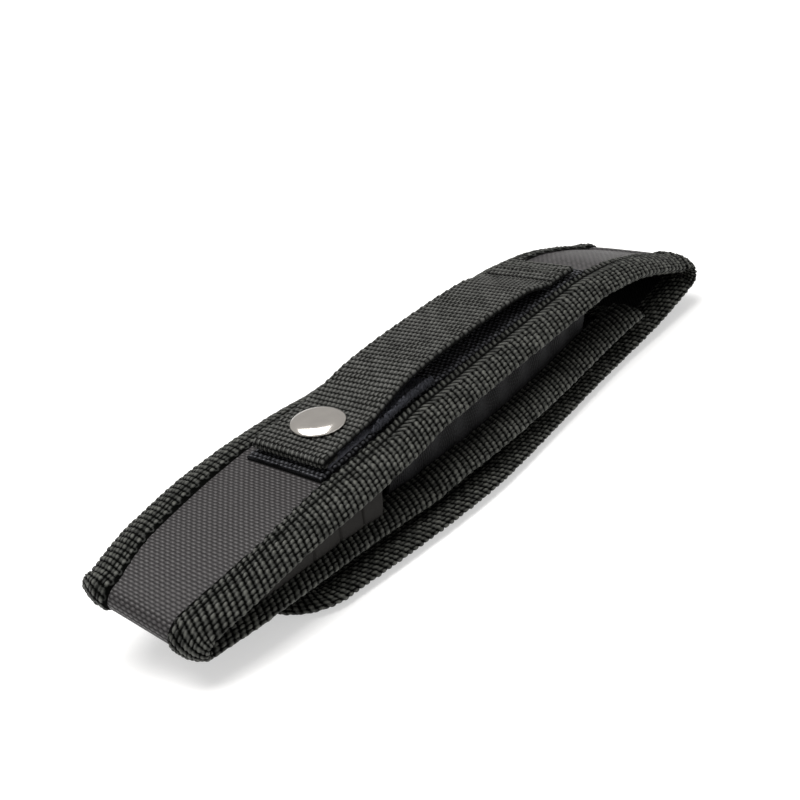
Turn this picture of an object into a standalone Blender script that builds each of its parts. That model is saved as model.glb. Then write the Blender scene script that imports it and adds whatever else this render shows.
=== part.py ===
"""Belt holster for a hand torch: a folded nylon pouch with a flap, elastic sides and a snap belt loop.

The holster lies on its flap with the belt loop up.  X runs along its length, from the closed bottom
end to the fold of the flap.  Y runs across it and Z is up.  Lengths are in millimetres and are turned
into metres as each mesh is made.  A position along the length is called a run: 0 is the bottom end.
"""
import math

import bmesh
import bpy

MM = 0.001
MIDDLE_RUN = 94.1       # middle of the box, half way along
MIDDLE_ACROSS = -2.2    # middle of the box across: the slack cloth leans to the near side
GAP = 0.3               # clearance between pieces that touch

# Cloth and tape thicknesses
NYLON = 0.4
CORE = 1.4
LINING = 0.3
TAPE = 0.6
WEBBING = 1.2
BASE_WEBBING = 1.0
PAD = 0.8               # one half of the hook-and-loop closure
STACK = NYLON + GAP + CORE + GAP + LINING
EDGE = GAP + TAPE       # how far the binding stands off the laminate it covers

# Widths
TAPE_COVER = 8.2        # how far each leg of the binding reaches in from the edge
WEBBING_HALF = 10.0
PAD_HALF = 8.0

# Places along the length
WRAP_RUN = 3.4          # centre of the rounded bottom end
MOUTH_RUN = 162.0
FOLD_RUN = 184.0        # where the back panel ends and the flap's fold begins
FOLD_PIVOT = 1.5        # the flap turns about a line this far outside the end of the panels
FLAP_TIP_RUN = 28.2
ELASTIC_RUNS = (67.0, 146.0)
RIBBON_RUNS = (24.0, 63.5)
BASE_RUNS = (48.0, 153.0)
ANCHOR_RUNS = (141.0, 151.0)
STRAP_TIP_RUN = 51.0
SNAP_RUN = 63.0
HOOK_RUNS = (74.0, 88.0)
CLOSURE_RUNS = (62.0, 102.0)
CLOSURE_HALF = 10.0

# Snap fastener
CAP_RADIUS = 6.25
CAP_HEIGHT = 2.1
SNAP_SEAT = 0.5         # clearance of the snap's rings over the slightly twisted webbing
BARREL_RADIUS = 1.6
SOCKET_RADIUS = 5.0
STUD_RADIUS = 4.2
NUB_RADIUS = 2.5
NUB_HEIGHT = 0.55
FLANGE_RADIUS = 3.6
FLANGE = 0.4
POCKET_DEPTH = FLANGE + GAP

# Shape of the holster: (run, value) pairs joined by a smooth curve
BACK_HEIGHT = ((0, 17.6), (10, 20.0), (22, 21.8), (40, 23.2), (60, 23.4), (100, 22.9),
               (145, 22.9), (162, 20.8), (174, 17.2), (184, 13.0))
FRONT_HEIGHT = ((0, 10.9), (20, 10.6), (36, 10.0), (50, 9.4), (62, 8.3), (76, 7.0), (90, 6.8), (165, 7.0))
HALF_WIDTH = ((0, 15.9), (20, 19.6), (45, 21.0), (85, 20.6), (110, 19.8), (135, 19.5), (155, 19.1),
              (190, 18.4))
TWIST_DEGREES = ((0, 20), (10, 14), (20, 10.5), (35, 8), (52, 7), (70, 4), (85, 0), (190, 0))
STRAP_RISE = ((50, 4.6), (69, 4.6), (76, 5.2), (89, 6.8), (98, 7.1), (118, 6.7), (132, 5.8), (141, 3.6),
              (153, 3.2))
TWIST_AXIS_HEIGHT = 14.0
BACK_CROWN = 1.0        # how far the back panel's edges sit below its middle
FRONT_FLARE = 1.2       # the front panel is wider in its middle and leans to the near side
FRONT_LEAN = 2.2
FLAP_FLARE = 2.6
FLAP_LEAN = 2.6
FLAP_FACE = EDGE        # height of the flap's outer nylon: its binding touches the floor
FLAP_RISE = ((0, 0), (148, 0), (166, 0.9), (176, 2.2), (184, 3.6))
FLAP_TIP_RADIUS = 12.0
TIP_TURNS = (15, 30, 50, 70)   # where the rounded corners of the flap's tip are sampled, in degrees

COLOURS = {
    "nylon": (0.030, 0.029, 0.031, 1),
    "binding": (0.022, 0.024, 0.021, 1),
    "webbing": (0.034, 0.035, 0.033, 1),
    "elastic": (0.018, 0.018, 0.019, 1),
    "ribbon": (0.040, 0.038, 0.036, 1),
    "loop_pile": (0.070, 0.072, 0.080, 1),
    "hook_pile": (0.012, 0.012, 0.013, 1),
    "foam": (0.045, 0.045, 0.045, 1),
    "nickel": (0.62, 0.58, 0.52, 1),
}


# Tape folded over an edge: (distance outside the edge, height above the outer face)
FOLDED_TAPE = ((-TAPE_COVER, EDGE), (0, EDGE), (EDGE, GAP), (EDGE, -STACK - GAP), (0, -STACK - EDGE),
               (-TAPE_COVER, -STACK - EDGE), (-TAPE_COVER, -STACK - GAP), (GAP, -STACK - GAP), (GAP, GAP),
               (-TAPE_COVER, GAP))
TAPE_CAPS = ((0, 1, 8, 9), (1, 2, 8), (2, 3, 7, 8), (3, 4, 7), (4, 5, 6, 7))
TAPE_TIPS = (0, 9, 5, 6)    # the free edges of its two legs
# The same at the tight top fold, where only the outer leg shows
BENT_TAPE = ((-TAPE_COVER, EDGE), (0, EDGE), (EDGE, GAP), (EDGE, -STACK), (GAP, -STACK), (GAP, GAP),
             (-TAPE_COVER, GAP))
BENT_CAPS = ((0, 1, 5, 6), (1, 2, 5), (2, 3, 4, 5))
BENT_TIPS = (0, 6)
SET_BACK = 0.03         # share of a span by which a leg's free edge stops short at the tape's ends


def smooth(pairs, run):
    """Value at a run on a curve through the pairs, with the slope limited so it never overshoots."""
    if run <= pairs[0][0]:
        return pairs[0][1]
    if run >= pairs[-1][0]:
        return pairs[-1][1]
    index = next(i for i in range(len(pairs) - 1) if pairs[i + 1][0] >= run)

    def chord(i):
        return (pairs[i + 1][1] - pairs[i][1]) / (pairs[i + 1][0] - pairs[i][0])

    def slope(i):
        if i in (0, len(pairs) - 1):
            return chord(0) if i == 0 else chord(len(pairs) - 2)
        before, after = chord(i - 1), chord(i)
        return 0.0 if before * after <= 0 else 2 * before * after / (before + after)

    (run0, value0), (run1, value1) = pairs[index], pairs[index + 1]
    span = run1 - run0
    t = (run - run0) / span
    return ((2 * t ** 3 - 3 * t ** 2 + 1) * value0 + (t ** 3 - 2 * t ** 2 + t) * span * slope(index)
            + (3 * t ** 2 - 2 * t ** 3) * value1 + (t ** 3 - t ** 2) * span * slope(index + 1))


def bump(run, start, peak, end):
    """A smooth hill: 0 at start and end, 1 at its peak."""
    if run <= start or run >= end:
        return 0.0
    t = (run - start) / (peak - start) if run < peak else (end - run) / (end - peak)
    return t * t * (3 - 2 * t)


def steps(start, end, count):
    return [start + (end - start) * i / count for i in range(count + 1)]


def twist(point):
    """The pouch lies a little twisted: its near side drops towards the bottom end."""
    x, y, z = point
    angle = math.radians(smooth(TWIST_DEGREES, x))
    up = z - TWIST_AXIS_HEIGHT
    return (x, y * math.cos(angle) - up * math.sin(angle),
            TWIST_AXIS_HEIGHT + y * math.sin(angle) + up * math.cos(angle))


def straight(point):
    return point


def placed(run, across, height):
    """Metres from the middle of the box, on the floor."""
    return (run - MIDDLE_RUN) * MM, (across - MIDDLE_ACROSS) * MM, height * MM


def material(name):
    found = bpy.data.materials.get(name)
    if found:
        return found
    new = bpy.data.materials.new(name)
    new.use_nodes = True
    shader = new.node_tree.nodes["Principled BSDF"]
    shader.inputs["Base Color"].default_value = COLOURS[name]
    shader.inputs["Metallic"].default_value = 1.0 if name == "nickel" else 0.0
    shader.inputs["Roughness"].default_value = 0.2 if name == "nickel" else 0.8
    return new


def add_object(name, shell, colour, parent=None):
    """Make an object from a bmesh in holster millimetres; its origin is its parent's joint axis."""
    origin = parent.location if parent else (0.0, 0.0, 0.0)
    for vertex in shell.verts:
        place = placed(vertex.co.x, vertex.co.y, vertex.co.z)
        vertex.co = [place[i] - origin[i] for i in range(3)]
    bmesh.ops.recalc_face_normals(shell, faces=shell.faces)
    mesh = bpy.data.meshes.new(name)
    shell.to_mesh(mesh)
    shell.free()
    new = bpy.data.objects.new(name, mesh)
    new.parent = parent
    mesh.materials.append(material(colour))
    bpy.context.scene.collection.objects.link(new)
    return new


def loft(name, sections, colour, place=twist, parent=None, caps=None):
    """A closed solid through a row of equal rings of points.

    caps lists the faces that fill each end, as places in the ring.  Without it the ring runs along a top
    face and back along a bottom one, and strips between the two fill its ends.
    """
    shell = bmesh.new()
    rings = [[shell.verts.new(place(point)) for point in ring] for ring in sections]
    count = len(rings[0])
    for ring, after in zip(rings, rings[1:]):
        for i in range(count):
            j = (i + 1) % count
            shell.faces.new((ring[i], ring[j], after[j], after[i]))
    caps = caps or [(i, i + 1, count - 2 - i, count - 1 - i) for i in range(count // 2 - 1)]
    for ring in (rings[0], rings[-1]):
        for cap in caps:
            shell.faces.new([ring[i] for i in cap])
    bmesh.ops.triangulate(shell, faces=shell.faces)
    return add_object(name, shell, colour, parent)


class Station:
    """One place on a path: its outer surface point, its outward normal and the panel's edges there."""

    def __init__(self, run, height, low, high, crown):
        self.run, self.height, self.low, self.high, self.crown = run, height, low, high, crown
        self.normal = (0.0, 1.0)

    def point(self, across, out):
        """A point across the panel, `out` millimetres outside its outer face."""
        middle = (self.low + self.high) / 2
        half = (self.high - self.low) / 2
        ratio = min(1.0, abs(across - middle) / half)
        level = out - self.crown * ratio ** 3
        return (self.run + self.normal[0] * level, across, self.height + self.normal[1] * level)


def set_normals(path, side):
    """Outward normals from each station's neighbours; side is +1 or -1, left or right of the path."""
    for i, station in enumerate(path):
        before, after = path[max(i - 1, 0)], path[min(i + 1, len(path) - 1)]
        along, up = after.run - before.run, after.height - before.height
        size = math.hypot(along, up)
        station.normal = (-up / size * side, along / size * side)
    return path


def back_edges(run):
    half = smooth(HALF_WIDTH, run)
    return -half, half


def front_edges(run):
    half = smooth(HALF_WIDTH, run) + FRONT_FLARE * bump(run, 40, 105, 160)
    lean = FRONT_LEAN * bump(run, 40, 105, 160)
    return -half - lean, half - lean


def flap_edges(run):
    back_from_tip = run - FLAP_TIP_RUN
    run = max(run, FLAP_TIP_RUN + FLAP_TIP_RADIUS)
    half = smooth(HALF_WIDTH, run) + FLAP_FLARE * bump(run, 15, 88, 158)
    lean = FLAP_LEAN * bump(run, 15, 88, 158)
    if back_from_tip < FLAP_TIP_RADIUS:
        half -= FLAP_TIP_RADIUS - math.sqrt(max(0.0, FLAP_TIP_RADIUS ** 2
                                                - (FLAP_TIP_RADIUS - back_from_tip) ** 2))
    return -half - lean, half - lean


def back_path(start=WRAP_RUN, end=FOLD_RUN, count=26):
    path = [Station(run, smooth(BACK_HEIGHT, run), *back_edges(run), BACK_CROWN)
            for run in steps(end, start, count)]
    return set_normals(path, -1)


def front_path(start=WRAP_RUN, end=MOUTH_RUN, count=18):
    path = [Station(run, smooth(FRONT_HEIGHT, run), *front_edges(run), 0.0)
            for run in steps(start, end, count)]
    return set_normals(path, -1)


def wrap_path(count=6):
    """The half turn round the bottom end, from the back panel to the front panel."""
    top, bottom = smooth(BACK_HEIGHT, WRAP_RUN), smooth(FRONT_HEIGHT, WRAP_RUN)
    middle, radius = (top + bottom) / 2, (top - bottom) / 2
    path = []
    for i in range(1, count):
        angle = math.pi * i / count
        run = WRAP_RUN - radius * math.sin(angle)
        crown = BACK_CROWN * (1 - i / count)
        station = Station(run, middle + radius * math.cos(angle), *back_edges(WRAP_RUN), crown)
        station.normal = (-math.sin(angle), math.cos(angle))
        path.append(station)
    return path


def body_path():
    return back_path() + wrap_path() + front_path()


def flap_face(run):
    """Height of the flap's outer nylon, which lifts off the floor towards the fold."""
    return FLAP_FACE + smooth(FLAP_RISE, run)


def flap_path(start=FLAP_TIP_RUN, end=FOLD_RUN, count=20):
    """The flap's outer face looks down."""
    corner = FLAP_TIP_RUN + FLAP_TIP_RADIUS
    nose = [corner - FLAP_TIP_RADIUS * math.sin(math.radians(turn)) for turn in reversed(TIP_TURNS)]
    runs = nose + steps(corner, end, count)
    path = [Station(run, flap_face(run), *flap_edges(run), 0.0) for run in runs if run >= start]
    return set_normals(path, -1)


def fold_path(count=8):
    """The half turn of the top fold, from the back panel to the flap."""
    top, bottom = smooth(BACK_HEIGHT, FOLD_RUN), flap_face(FOLD_RUN)
    middle, radius = (top + bottom) / 2, (top - bottom) / 2
    path = []
    for i in range(count + 1):
        angle = math.pi * i / count
        crown = BACK_CROWN * (1 - i / count)
        station = Station(FOLD_RUN + GAP + radius * math.sin(angle), middle + radius * math.cos(angle),
                          *back_edges(FOLD_RUN), crown)
        station.normal = (math.sin(angle), math.cos(angle))
        path.append(station)
    return path


def sheet(name, path, outer, thickness, colour, inset=0.0, place=twist, parent=None):
    """A layer of cloth or foam whose outer face is `outer` millimetres outside the path."""
    sections = []
    for station in path:
        low, high = station.low + inset, station.high - inset
        inner_low, inner_high = low + TAPE_COVER, high - TAPE_COVER
        middle = (low + high) / 2
        if inner_low > middle - 1:
            inner_low, inner_high = middle - 1, middle + 1
        across = (low, inner_low, middle, inner_high, high)
        top = [station.point(y, outer) for y in across]
        bottom = [station.point(y, outer - thickness) for y in reversed(across)]
        sections.append(top + bottom)
    return loft(name, sections, colour, place, parent)


def strip(name, path, outer, thickness, half, colour, place=twist, parent=None):
    """A narrow layer along the middle of a path."""
    sections = []
    for station in path:
        across = (-half, 0.0, half)
        top = [station.point(y, outer) for y in across]
        bottom = [station.point(y, outer - thickness) for y in reversed(across)]
        sections.append(top + bottom)
    return loft(name, sections, colour, place, parent)


def set_back(sections, tips):
    """Stop the free edges of the tape's legs a little short of its fold at both ends."""
    for ring, inner in ((sections[0], sections[1]), (sections[-1], sections[-2])):
        for i in tips:
            ring[i] = [a + SET_BACK * (b - a) for a, b in zip(ring[i], inner[i])]
    return sections


def edge_rings(path, side, profile):
    """Rings of tape over one edge of the laminate; side is -1 for the near edge, +1 for the far one."""
    rings = []
    for station in path:
        edge = station.low if side < 0 else station.high
        rings.append([station.point(edge + side * out, level) for out, level in profile])
    return rings


def binding(name, path, side):
    loft(name, set_back(edge_rings(path, side, FOLDED_TAPE), TAPE_TIPS), "binding", caps=TAPE_CAPS)


def gusset(name, runs, side, thickness, colour, lean):
    """A band that closes one side of the pouch, from the back binding down to the front binding."""
    sections = []
    for run in steps(*runs, 10):
        back = back_edges(run)[0 if side < 0 else 1]
        front = front_edges(run)[0 if side < 0 else 1]
        top_y = back - side * 3.0
        low_y = front - side * (TAPE_COVER - lean)
        top_z = smooth(BACK_HEIGHT, run) - STACK - EDGE - BACK_CROWN - 2 * GAP
        low_z = smooth(FRONT_HEIGHT, run) + STACK + EDGE + 2 * GAP
        mid_y, mid_z = (top_y + low_y) / 2 - side * 0.6, (top_z + low_z) / 2
        outer = [(run, top_y, top_z), (run, mid_y, mid_z), (run, low_y, low_z)]
        inner = [(run, y - side * thickness, z) for _, y, z in reversed(outer)]
        sections.append(outer + inner)
    return loft(name, sections, colour)


def turned(name, profile, colour, centre, sides=32, parent=None, tilt=0.0):
    """A round piece from (radius, height) pairs, standing on the point `centre` and tilted about Y."""
    shell = bmesh.new()
    rings = []
    for radius, height in profile:
        if radius == 0:
            rings.append([shell.verts.new((0, 0, height))])
            continue
        turns = [2 * math.pi * (i + 0.5) / sides for i in range(sides)]
        rings.append([shell.verts.new((radius * math.cos(a), radius * math.sin(a), height)) for a in turns])
    closed = profile[0][0] != 0 or profile[-1][0] != 0
    pairs = list(zip(rings, rings[1:])) + ([(rings[-1], rings[0])] if closed else [])
    for ring, after in pairs:
        for i in range(sides):
            j = (i + 1) % sides
            if len(ring) == 1:
                shell.faces.new((ring[0], after[i], after[j]))
            elif len(after) == 1:
                shell.faces.new((ring[i], ring[j], after[0]))
            else:
                shell.faces.new((ring[i], ring[j], after[j], after[i]))
    roll = math.radians(smooth(TWIST_DEGREES, centre[0]))
    middle = twist(centre)
    for vertex in shell.verts:
        x, y, z = vertex.co
        x, z = x * math.cos(tilt) - z * math.sin(tilt), x * math.sin(tilt) + z * math.cos(tilt)
        y, z = y * math.cos(roll) - z * math.sin(roll), y * math.sin(roll) + z * math.cos(roll)
        vertex.co = (middle[0] + x, middle[1] + y, middle[2] + z)
    made = add_object(name, shell, colour, parent)
    made.data.shade_smooth()
    made.data.set_sharp_from_angle(angle=math.radians(30))
    return made


def pierce(piece, name, radius, centre, depth):
    """Cut a round hole through a piece, along Z at its place on the twisted pouch."""
    cutter = turned(name, ((0, -depth), (radius, -depth), (radius, depth), (0, depth)), "foam", centre, 24)
    cutter.hide_render = True
    cutter.display_type = "WIRE"
    cut = piece.modifiers.new("hole", "BOOLEAN")
    cut.operation = "DIFFERENCE"
    cut.solver = "EXACT"
    cut.object = cutter


def joint_empty(name, run, height):
    empty = bpy.data.objects.new(name, None)
    empty.location = placed(run, 0.0, height)
    bpy.context.scene.collection.objects.link(empty)
    return empty


def strap_stations(start, end, count):
    """Stations on the strap's top face, which stands clear of the back panel."""
    path = [Station(run, smooth(BACK_HEIGHT, run) + smooth(STRAP_RISE, run), -WEBBING_HALF, WEBBING_HALF, 0.0)
            for run in steps(end, start, count)]
    return set_normals(path, -1)


def make_pouch():
    skin = body_path()
    sheet("outer_shell", skin, 0.0, NYLON, "nylon")
    sheet("inner_lining", skin, -STACK + LINING, LINING, "nylon", inset=0.5)
    back_core = sheet("back_core", back_path(WRAP_RUN + 2, FOLD_RUN - 0.5, 22), -NYLON - GAP, CORE, "foam", 0.5)
    sheet("front_core", front_path(WRAP_RUN + 2, MOUTH_RUN - 0.5, 16), -NYLON - GAP, CORE, "foam", 0.5)
    sheet("bottom_core", wrap_path(), -NYLON - GAP, CORE, "foam", 0.5)
    for side, word in ((-1, "near"), (1, "far")):
        binding("body_binding_" + word, skin, side)
        gusset("elastic_gusset_" + word, ELASTIC_RUNS, side, 1.0, "elastic", 1.0)
        gusset("ribbon_gusset_" + word, RIBBON_RUNS, side, 0.5, "ribbon", 4.5)
    return back_core


def make_mouth_binding():
    """Tape folded over the front panel's free edge, between the two side bindings."""
    low, high = front_edges(MOUTH_RUN)
    height = smooth(FRONT_HEIGHT, MOUTH_RUN)
    reach = TAPE_COVER + GAP
    sections = [[(MOUTH_RUN + out, y, height - level) for out, level in FOLDED_TAPE]
                for y in steps(low + reach, high - reach, 4)]
    loft("mouth_binding", set_back(sections, TAPE_TIPS), "binding", caps=TAPE_CAPS)


def make_belt_side(back_core):
    """Everything sewn or riveted to the back panel under the belt strap."""
    base_path = back_path(*BASE_RUNS, 16)
    base = strip("base_webbing", base_path, GAP + BASE_WEBBING, BASE_WEBBING, WEBBING_HALF, "webbing")
    pad_bottom = GAP + BASE_WEBBING + GAP
    strip("belt_loop_pad", back_path(*HOOK_RUNS, 4), pad_bottom + PAD, PAD, PAD_HALF, "loop_pile")
    strip("strap_anchor", back_path(ANCHOR_RUNS[0] + GAP, ANCHOR_RUNS[1], 2), pad_bottom + WEBBING, WEBBING,
          WEBBING_HALF, "webbing")
    surface = smooth(BACK_HEIGHT, SNAP_RUN)
    stud_foot = (SNAP_RUN, 0.0, surface + GAP + BASE_WEBBING + GAP)
    turned("snap_stud", ((STUD_RADIUS, 0), (STUD_RADIUS, 0.35), (NUB_RADIUS, 0.35), (NUB_RADIUS, NUB_HEIGHT),
                         (BARREL_RADIUS + GAP, NUB_HEIGHT), (BARREL_RADIUS + GAP, 0)), "nickel", stud_foot)
    rivet_foot = (SNAP_RUN, 0.0, surface - NYLON - GAP - FLANGE)
    rivet_height = stud_foot[2] - rivet_foot[2] + NUB_HEIGHT
    turned("snap_rivet", ((0, 0), (FLANGE_RADIUS, 0), (FLANGE_RADIUS, FLANGE), (BARREL_RADIUS, FLANGE),
                          (BARREL_RADIUS, rivet_height), (0, rivet_height)), "nickel", rivet_foot)
    pocket = (SNAP_RUN, 0.0, surface - NYLON - GAP)
    pierce(base, "base_hole_cutter", BARREL_RADIUS + GAP, stud_foot, 3.0)
    pierce(bpy.data.objects["outer_shell"], "shell_hole_cutter", BARREL_RADIUS + GAP, pocket, 2.0)
    pierce(back_core, "core_pocket_cutter", FLANGE_RADIUS + GAP, pocket, POCKET_DEPTH)


def make_closure():
    """Loop pad under the front panel; the flap's hook pad faces it."""
    strip("front_loop_pad", front_path(*CLOSURE_RUNS, 6), GAP + PAD, PAD, CLOSURE_HALF, "loop_pile")


def make_fold():
    """The bent cloth that joins the back panel to the flap."""
    path = fold_path()
    sheet("fold_panel", path, 0.0, STACK, "nylon", place=straight)
    for side, word in ((-1, "near"), (1, "far")):
        rings = set_back(edge_rings(path, side, BENT_TAPE), BENT_TIPS)
        loft("fold_binding_" + word, rings, "binding", straight, caps=BENT_CAPS)


def make_flap(hinge):
    path = flap_path()
    inner = flap_path(FLAP_TIP_RUN + 1.5)
    sheet("flap_shell", path, 0.0, NYLON, "nylon", place=straight, parent=hinge)
    sheet("flap_core", inner, -NYLON - GAP, CORE, "foam", 0.5, straight, hinge)
    sheet("flap_lining", inner, -STACK + LINING, LINING, "nylon", 0.5, straight, hinge)
    strip("flap_hook_pad", [s for s in flap_path(count=24) if CLOSURE_RUNS[0] <= s.run <= CLOSURE_RUNS[1]],
          -STACK - GAP, PAD, CLOSURE_HALF, "hook_pile", straight, hinge)
    flap_binding(path, hinge)


def flap_binding(path, hinge):
    """One tape folded over the flap's far edge, tip and near edge."""
    corner = FLAP_TIP_RUN + FLAP_TIP_RADIUS
    low, high = flap_edges(corner)
    straight_part = [s for s in path if s.run >= corner]
    outline = [(s.run, s.low, 0.0, -1.0, s) for s in reversed(straight_part)]
    turns = TIP_TURNS + (90,)
    for side, edge, turns in ((-1, low, turns), (1, high, reversed(turns))):
        for angle in map(math.radians, turns):
            outline.append((corner - FLAP_TIP_RADIUS * math.sin(angle),
                            edge - side * FLAP_TIP_RADIUS * (1 - math.cos(angle)),
                            -math.sin(angle), side * math.cos(angle), path[0]))
    outline += [(s.run, s.high, 0.0, 1.0, s) for s in straight_part]
    sections = [[(run + along * out + s.normal[0] * level, y + across * out, s.height + s.normal[1] * level)
                 for out, level in FOLDED_TAPE] for run, y, along, across, s in outline]
    loft("flap_binding", set_back(sections, TAPE_TIPS), "binding", straight, hinge, TAPE_CAPS)


def make_strap(hinge):
    path = strap_stations(STRAP_TIP_RUN, ANCHOR_RUNS[0], 22)
    webbing = strip("belt_strap", path, 0.0, WEBBING, WEBBING_HALF, "webbing", parent=hinge)
    strip("strap_hook_pad", strap_stations(*HOOK_RUNS, 4), -WEBBING - GAP, PAD * 0.8, PAD_HALF, "hook_pile",
          parent=hinge)
    top = smooth(BACK_HEIGHT, SNAP_RUN) + smooth(STRAP_RISE, SNAP_RUN)
    dome = [(CAP_RADIUS * math.cos(math.radians(a)),
             SNAP_SEAT + 0.5 + (CAP_HEIGHT - 0.5) * math.sin(math.radians(a)))
            for a in (0, 20, 40, 58, 75)]
    barrel = -WEBBING - SNAP_SEAT - 0.3
    turned("snap_cap", [(0, barrel), (BARREL_RADIUS, barrel), (BARREL_RADIUS, SNAP_SEAT),
                        (CAP_RADIUS - 0.3, SNAP_SEAT)] + dome + [(0, SNAP_SEAT + CAP_HEIGHT)], "nickel",
           (SNAP_RUN, 0.0, top), parent=hinge)
    turned("snap_socket", ((BARREL_RADIUS + GAP, 0), (SOCKET_RADIUS, 0), (SOCKET_RADIUS, -0.7),
                           (NUB_RADIUS + GAP, -0.7), (BARREL_RADIUS + GAP, -0.4)), "nickel",
           (SNAP_RUN, 0.0, top - WEBBING - SNAP_SEAT), parent=hinge)
    pierce(webbing, "strap_hole_cutter", BARREL_RADIUS + GAP, (SNAP_RUN, 0.0, top), 2.5)


def main():
    for old in list(bpy.data.objects):
        bpy.data.objects.remove(old)
    back_core = make_pouch()
    make_mouth_binding()
    make_belt_side(back_core)
    make_closure()
    make_fold()
    fold_height = (smooth(BACK_HEIGHT, FOLD_RUN) + flap_face(FOLD_RUN)) / 2
    make_flap(joint_empty("flap_hinge", FOLD_RUN + FOLD_PIVOT, fold_height))
    hinge_height = smooth(BACK_HEIGHT, ANCHOR_RUNS[0]) + smooth(STRAP_RISE, ANCHOR_RUNS[0])
    make_strap(joint_empty("strap_hinge", ANCHOR_RUNS[0], hinge_height))


main()
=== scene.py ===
"""Looks of the torch holster: woven tape, webbing, coated cloth, elastic, pile, thread and snap.

Everything is built in millimetres along the holster's length ("run", 0 at the closed bottom end), across it
and up, and is turned into metres in the CAD frame as each mesh is made.
"""
import math

import bmesh
import bpy
import numpy as np
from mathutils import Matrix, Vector


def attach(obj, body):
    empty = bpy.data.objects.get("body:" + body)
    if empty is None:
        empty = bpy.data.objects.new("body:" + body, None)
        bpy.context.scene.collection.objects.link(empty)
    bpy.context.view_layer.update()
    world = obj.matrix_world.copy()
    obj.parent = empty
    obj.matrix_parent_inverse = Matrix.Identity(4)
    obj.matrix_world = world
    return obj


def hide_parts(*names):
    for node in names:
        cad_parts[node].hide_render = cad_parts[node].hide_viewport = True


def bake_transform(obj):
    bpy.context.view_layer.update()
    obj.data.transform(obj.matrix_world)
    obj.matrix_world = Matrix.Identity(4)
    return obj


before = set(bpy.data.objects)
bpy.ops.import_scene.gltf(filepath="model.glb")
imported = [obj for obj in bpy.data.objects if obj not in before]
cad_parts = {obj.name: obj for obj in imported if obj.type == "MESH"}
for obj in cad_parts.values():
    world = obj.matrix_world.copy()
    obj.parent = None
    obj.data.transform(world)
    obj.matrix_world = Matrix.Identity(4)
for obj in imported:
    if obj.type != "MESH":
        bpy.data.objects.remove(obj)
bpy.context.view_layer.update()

MM = 0.001
MIDDLE_RUN, MIDDLE_ACROSS = 94.1, -2.2  # the frame's origin, in run and across

# ---- shape of the holster
STACK = 2.7  # cloth, foam and lining together
EDGE = 0.9  # the flap's tape holds its cloth this far off the table
COVER = 8.2  # how far the folded tape reaches in from the panel's edge
TAPE_FLAT = 3.0  # nearer the edge than this the tape rounds over into its bead
WRAP_RUN = 3.4  # the body's cloth turns round the bottom end below this run
MOUTH_RUN = 162.0  # free edge of the front panel
FOLD_RUN = 184.0  # here the back panel turns over into the flap
FLAP_TIP_RUN, TIP_RADIUS = 28.2, 12.0
WEBBING_HALF = 10.0
STRAP_TIP_RUN = 51.0
SNAP_RUN = 63.0
ANCHOR_RUNS = (141.0, 150.6)

# (run, height) of the back and front panels' outer faces, (run, half width) and (run, degrees of twist)
BACK_HEIGHT = ((0, 17.6), (10, 20.0), (22, 21.8), (40, 23.2), (60, 23.4), (100, 22.9),
               (145, 22.9), (162, 20.8), (174, 17.2), (184, 13.0))
FRONT_HEIGHT = ((0, 10.9), (20, 10.6), (36, 10.0), (50, 9.4), (62, 8.3), (76, 7.0), (90, 6.8), (165, 7.0))
HALF_WIDTH = ((0, 15.9), (20, 19.6), (45, 21.0), (85, 20.6), (110, 19.8), (135, 19.5), (155, 19.1),
              (190, 18.4))
TWIST_DEGREES = ((0, 20), (10, 14), (20, 10.5), (35, 8), (52, 7), (70, 4), (85, 0), (190, 0))
# (run, rise) of the strap above the back panel, and of the flap above its lowest level
STRAP_RISE = ((50, 4.6), (69, 4.6), (76, 5.2), (89, 6.8), (98, 7.1), (118, 6.7), (132, 5.8), (141, 3.6),
              (153, 3.2))
FLAP_RISE = ((0, 0), (148, 0), (166, 0.9), (176, 2.2), (184, 3.6))
TWIST_HEIGHT = 14.0  # height of the line that the pouch is twisted about
BACK_CROWN = 1.0  # how far the back panel drops from its middle to its edges
# How much the front panel and the flap bulge on each side, and how far they lean to the near side
FRONT_FLARE, FRONT_LEAN = 1.2, 2.2
FLAP_FLARE, FLAP_LEAN = 2.6, 2.6


def curve(pairs, run):
    """Smooth curve through (run, value) pairs that never overshoots them."""
    x, y = np.array(pairs, float).T
    run = np.clip(np.asarray(run, float), x[0], x[-1])
    chord = np.diff(y) / np.diff(x)
    slope = np.concatenate([chord[:1], np.zeros(len(x) - 2), chord[-1:]])
    same = chord[:-1] * chord[1:] > 0
    both = np.where(same, chord[:-1] + chord[1:], 1.0)
    slope[1:-1] = np.where(same, 2 * chord[:-1] * chord[1:] / both, 0.0)
    i = np.clip(np.searchsorted(x, run, side="right") - 1, 0, len(x) - 2)
    span = x[i + 1] - x[i]
    t = (run - x[i]) / span
    return ((2 * t ** 3 - 3 * t ** 2 + 1) * y[i] + (t ** 3 - 2 * t ** 2 + t) * span * slope[i]
            + (3 * t ** 2 - 2 * t ** 3) * y[i + 1] + (t ** 3 - t ** 2) * span * slope[i + 1])


def bump(run, start, peak, end):
    """A smooth hill from 0 at start up to 1 at peak and back to 0 at end."""
    run = np.asarray(run, float)
    t = np.clip(np.where(run < peak, (run - start) / (peak - start), (end - run) / (end - peak)), 0, 1)
    return t * t * (3 - 2 * t)


def twist(points):
    """The pouch lies a little twisted: its near side drops towards the bottom end."""
    angle = np.radians(curve(TWIST_DEGREES, points[..., 0]))
    y, up = points[..., 1], points[..., 2] - TWIST_HEIGHT
    return np.stack([points[..., 0], y * np.cos(angle) - up * np.sin(angle),
                     TWIST_HEIGHT + y * np.sin(angle) + up * np.cos(angle)], -1)


def distances(points):
    """How far along a polyline each of its points lies."""
    return np.concatenate([[0], np.cumsum(np.linalg.norm(np.diff(points, axis=0), axis=1))])


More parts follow.
